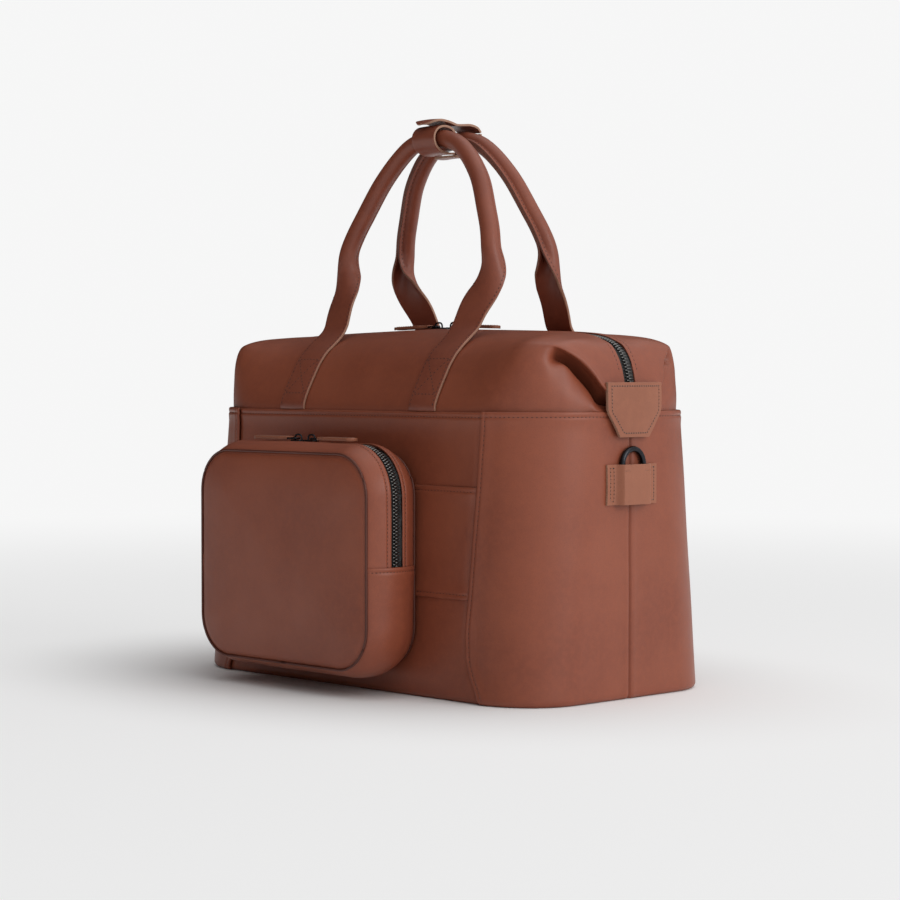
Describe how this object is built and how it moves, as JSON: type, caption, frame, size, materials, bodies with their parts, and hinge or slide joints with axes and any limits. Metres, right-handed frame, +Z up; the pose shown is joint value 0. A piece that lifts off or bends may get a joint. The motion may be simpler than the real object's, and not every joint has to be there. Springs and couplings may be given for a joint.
{
  "type": "duffel bag",
  "caption": "Brown leather weekend bag with rolled handles held by a snap keeper, a zipped roof, end rings and tabs, and a zipped pouch that snaps onto its front.",
  "frame": {"origin": "middle of the base, on the surface the bag stands on", "axes": "+X along the bag towards its right end, -Y towards the pouch side, +Z up"},
  "size_m": [0.4668, 0.3101, 0.5049],
  "materials": {
    "bag_leather": "smooth, semi-matt, warm brown",
    "tab_leather": "smooth, semi-matt, a little lighter brown, raw tan edge",
    "pouch_leather": "smooth, semi-matt, warm brown",
    "handle_leather": "smooth, semi-matt, raw tan edge",
    "hardware": "black, satin",
    "teeth": "gunmetal, satin",
    "zip_cloth": "black woven tape",
    "lining_cloth": "tan woven cotton",
    "stiffener_board": "grey pressed fibre board",
    "cord": "twisted cotton cord"
  },
  "bodies": {
    "bag": {"base_panel": "bag_leather", "base_board": "stiffener_board", "lining": "lining_cloth", "front_panel": "bag_leather", "back_panel": "bag_leather", "side_front_right": "bag_leather", "side_front_left": "bag_leather", "side_back_right": "bag_leather", "side_back_left": "bag_leather", "front_band": "bag_leather", "band_snaps": "hardware", "back_sleeve": "bag_leather", "upper_front": "bag_leather", "upper_back": "bag_leather", "stiffener_front": "stiffener_board", "stiffener_back": "stiffener_board", "strap_front_right": "handle_leather", "strap_front_left": "handle_leather", "strap_back_right": "handle_leather", "strap_back_left": "handle_leather", "zip_tape_front": "zip_cloth", "zip_tape_back": "zip_cloth", "zip_chain_front": "teeth", "zip_chain_back": "teeth", "ring_holder_right": "tab_leather", "ring_holder_left": "tab_leather", "end_tab_right": "tab_leather", "end_tab_left": "tab_leather"},
    "front_handle": {"front_handle": "handle_leather", "front_handle_core": "cord", "wrap_loop": "handle_leather", "wrap_snap": "hardware"},
    "back_handle": {"back_handle": "handle_leather", "back_handle_core": "cord", "wrap_cradle": "handle_leather"},
    "wrap_flap": {"wrap_flap": "handle_leather"},
    "ring_right": {"d_ring_right": "hardware"},
    "ring_left": {"d_ring_left": "hardware"},
    "slider_right": {"zip_slider_right": "hardware"},
    "slider_left": {"zip_slider_left": "hardware"},
    "pull_right": {"pull_link_right": "hardware", "zip_pull_right": "tab_leather"},
    "pull_left": {"pull_link_left": "hardware", "zip_pull_left": "tab_leather"},
    "pouch": {"pouch_front": "pouch_leather", "pouch_back": "pouch_leather", "pouch_gusset": "pouch_leather", "pouch_zip_strip_front": "pouch_leather", "pouch_zip_strip_back": "pouch_leather", "pouch_lining": "lining_cloth", "pouch_piping": "pouch_leather", "pouch_tape": "zip_cloth", "pouch_chain": "teeth", "pouch_snaps": "hardware"},
    "pouch_slider_right": {"pouch_slider_right": "hardware"},
    "pouch_slider_left": {"pouch_slider_left": "hardware"},
    "pouch_pull_right": {"pouch_link_right": "hardware", "pouch_pull_right": "tab_leather"},
    "pouch_pull_left": {"pouch_link_left": "hardware", "pouch_pull_left": "tab_leather"}
  },
  "joints": [
    {"name": "front_handle_swing", "type": "hinge", "parent": "bag", "child": "front_handle", "pos_m": [0, -0.06, 0.309], "axis": [1, 0, 0], "range_deg": [0, 95]},
    {"name": "back_handle_swing", "type": "hinge", "parent": "bag", "child": "back_handle", "pos_m": [0, 0.06, 0.309], "axis": [-1, 0, 0], "range_deg": [0, 95]},
    {"name": "wrap_flap_open", "type": "hinge", "parent": "back_handle", "child": "wrap_flap", "pos_m": [0, 0.03, 0.496], "axis": [-1, 0, 0], "range_deg": [0, 120]},
    {"name": "ring_right_swing", "type": "hinge", "parent": "bag", "child": "ring_right", "pos_m": [0.2283, 0, 0.1965], "axis": [0, 1, 0], "range_deg": [0, 90]},
    {"name": "ring_left_swing", "type": "hinge", "parent": "bag", "child": "ring_left", "pos_m": [-0.2283, 0, 0.1965], "axis": [0, -1, 0], "range_deg": [0, 90]},
    {"name": "zip_right_slide", "type": "slide", "parent": "bag", "child": "slider_right", "axis": [0.9996, 0, -0.0299], "range_m": [0, 0.16]},
    {"name": "zip_left_slide", "type": "slide", "parent": "bag", "child": "slider_left", "axis": [-0.9996, 0, -0.0299], "range_m": [0, 0.16]},
    {"name": "pull_right_swing", "type": "hinge", "parent": "slider_right", "child": "pull_right", "pos_m": [0.01109, 0, 0.31857], "axis": [0, -1, 0], "range_deg": [0, 110]},
    {"name": "pull_left_swing", "type": "hinge", "parent": "slider_left", "child": "pull_left", "pos_m": [-0.01109, 0, 0.31857], "axis": [0, 1, 0], "range_deg": [0, 110]},
    {"name": "pouch_release", "type": "slide", "parent": "bag", "child": "pouch", "axis": [0, -1, 0], "range_m": [0, 0.15]},
    {"name": "pouch_zip_right_slide", "type": "slide", "parent": "pouch", "child": "pouch_slider_right", "axis": [1, 0, 0], "range_m": [0, 0.056]},
    {"name": "pouch_zip_left_slide", "type": "slide", "parent": "pouch", "child": "pouch_slider_left", "axis": [-1, 0, 0], "range_m": [0, 0.056]},
    {"name": "pouch_pull_right_swing", "type": "hinge", "parent": "pouch_slider_right", "child": "pouch_pull_right", "pos_m": [-0.0115, -0.1505, 0.2189], "axis": [0, -1, 0], "range_deg": [0, 110]},
    {"name": "pouch_pull_left_swing", "type": "hinge", "parent": "pouch_slider_left", "child": "pouch_pull_left", "pos_m": [-0.0315, -0.1505, 0.2189], "axis": [0, 1, 0], "range_deg": [0, 110]}
  ],
  "couplings": [
    {"joint": "wrap_flap_open", "follows": "front_handle_swing", "ratio": 1.25}
  ]
}
